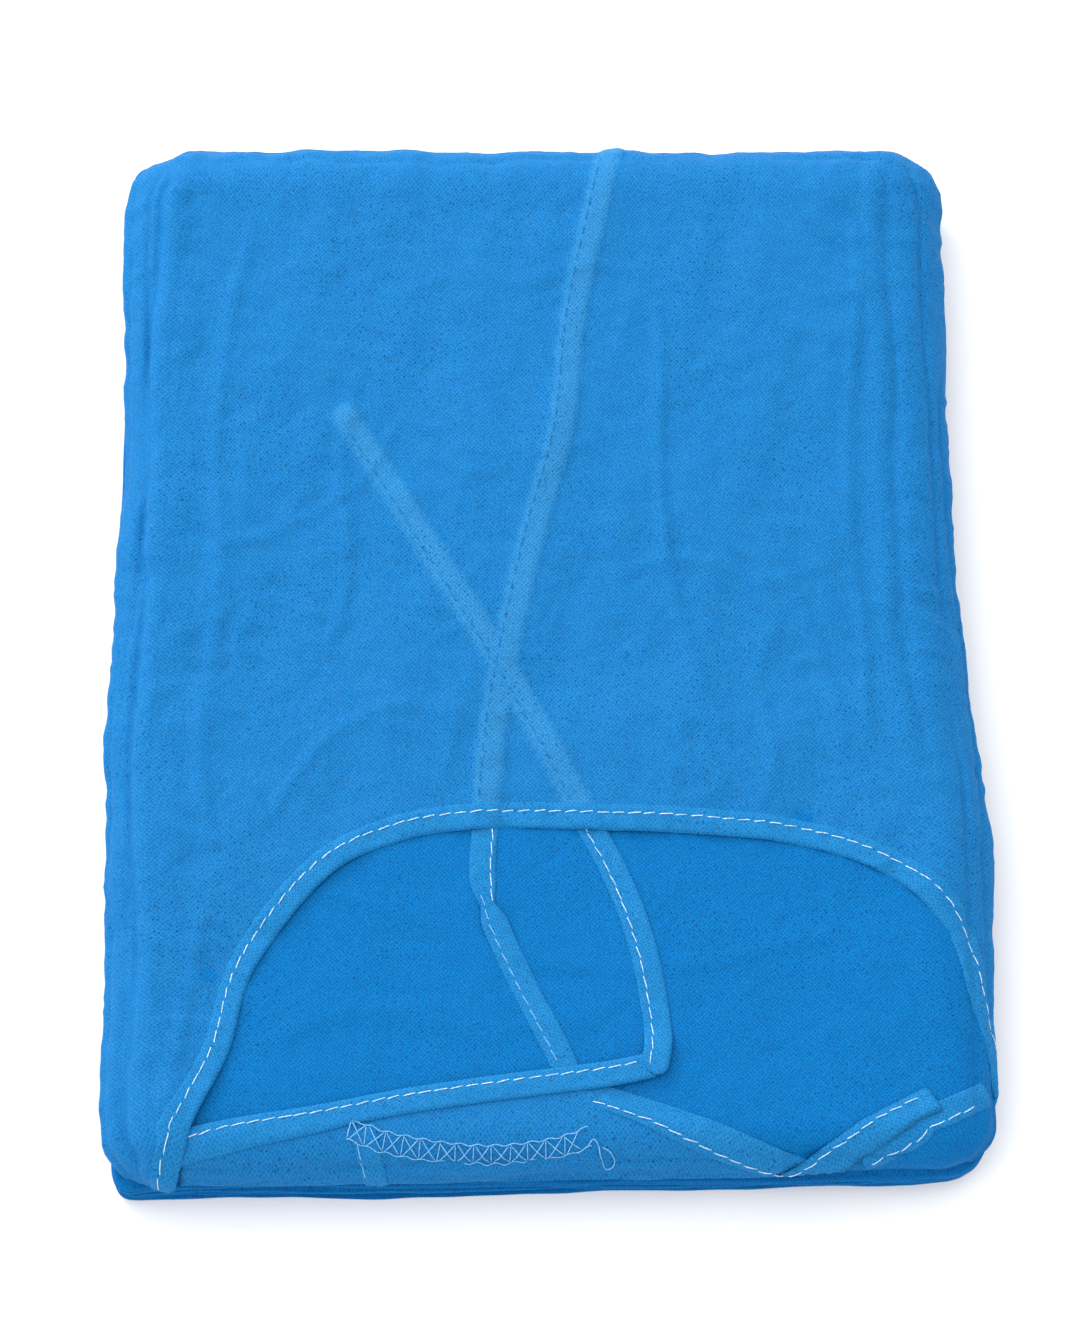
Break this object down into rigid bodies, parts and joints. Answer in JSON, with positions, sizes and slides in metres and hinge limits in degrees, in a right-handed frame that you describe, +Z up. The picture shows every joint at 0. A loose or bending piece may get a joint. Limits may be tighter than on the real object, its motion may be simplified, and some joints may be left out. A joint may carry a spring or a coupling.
{
  "type": "folded surgical gown",
  "caption": "Flat-folded blue nonwoven surgical gown with its bound neck hole uppermost and its neck and waist ties tucked in.",
  "frame": {"origin": "middle of the folded gown on the surface it lies on", "axes": "+Z up, +Y from the neck hole towards the far fold, +X to the right as seen in the picture"},
  "size_m": [0.2868, 0.3516, 0.0346],
  "materials": {
    "gown_cloth": "matt embossed spunbond nonwoven",
    "binding_tape": "folded nonwoven tape with lockstitch",
    "sewing_thread": "white overlock thread on blue cloth"
  },
  "bodies": {
    "root": {"folded_layers": "gown_cloth", "front_body": "gown_cloth", "right_back": "gown_cloth", "left_back": "gown_cloth", "front_neck_binding": "binding_tape", "left_back_neck_binding": "binding_tape", "left_neck_tie": "binding_tape", "right_neck_tie": "binding_tape", "back_edge_tie": "binding_tape", "short_tie": "binding_tape", "tucked_tie": "binding_tape", "overlocked_seam": "sewing_thread"}
  },
  "joints": []
}
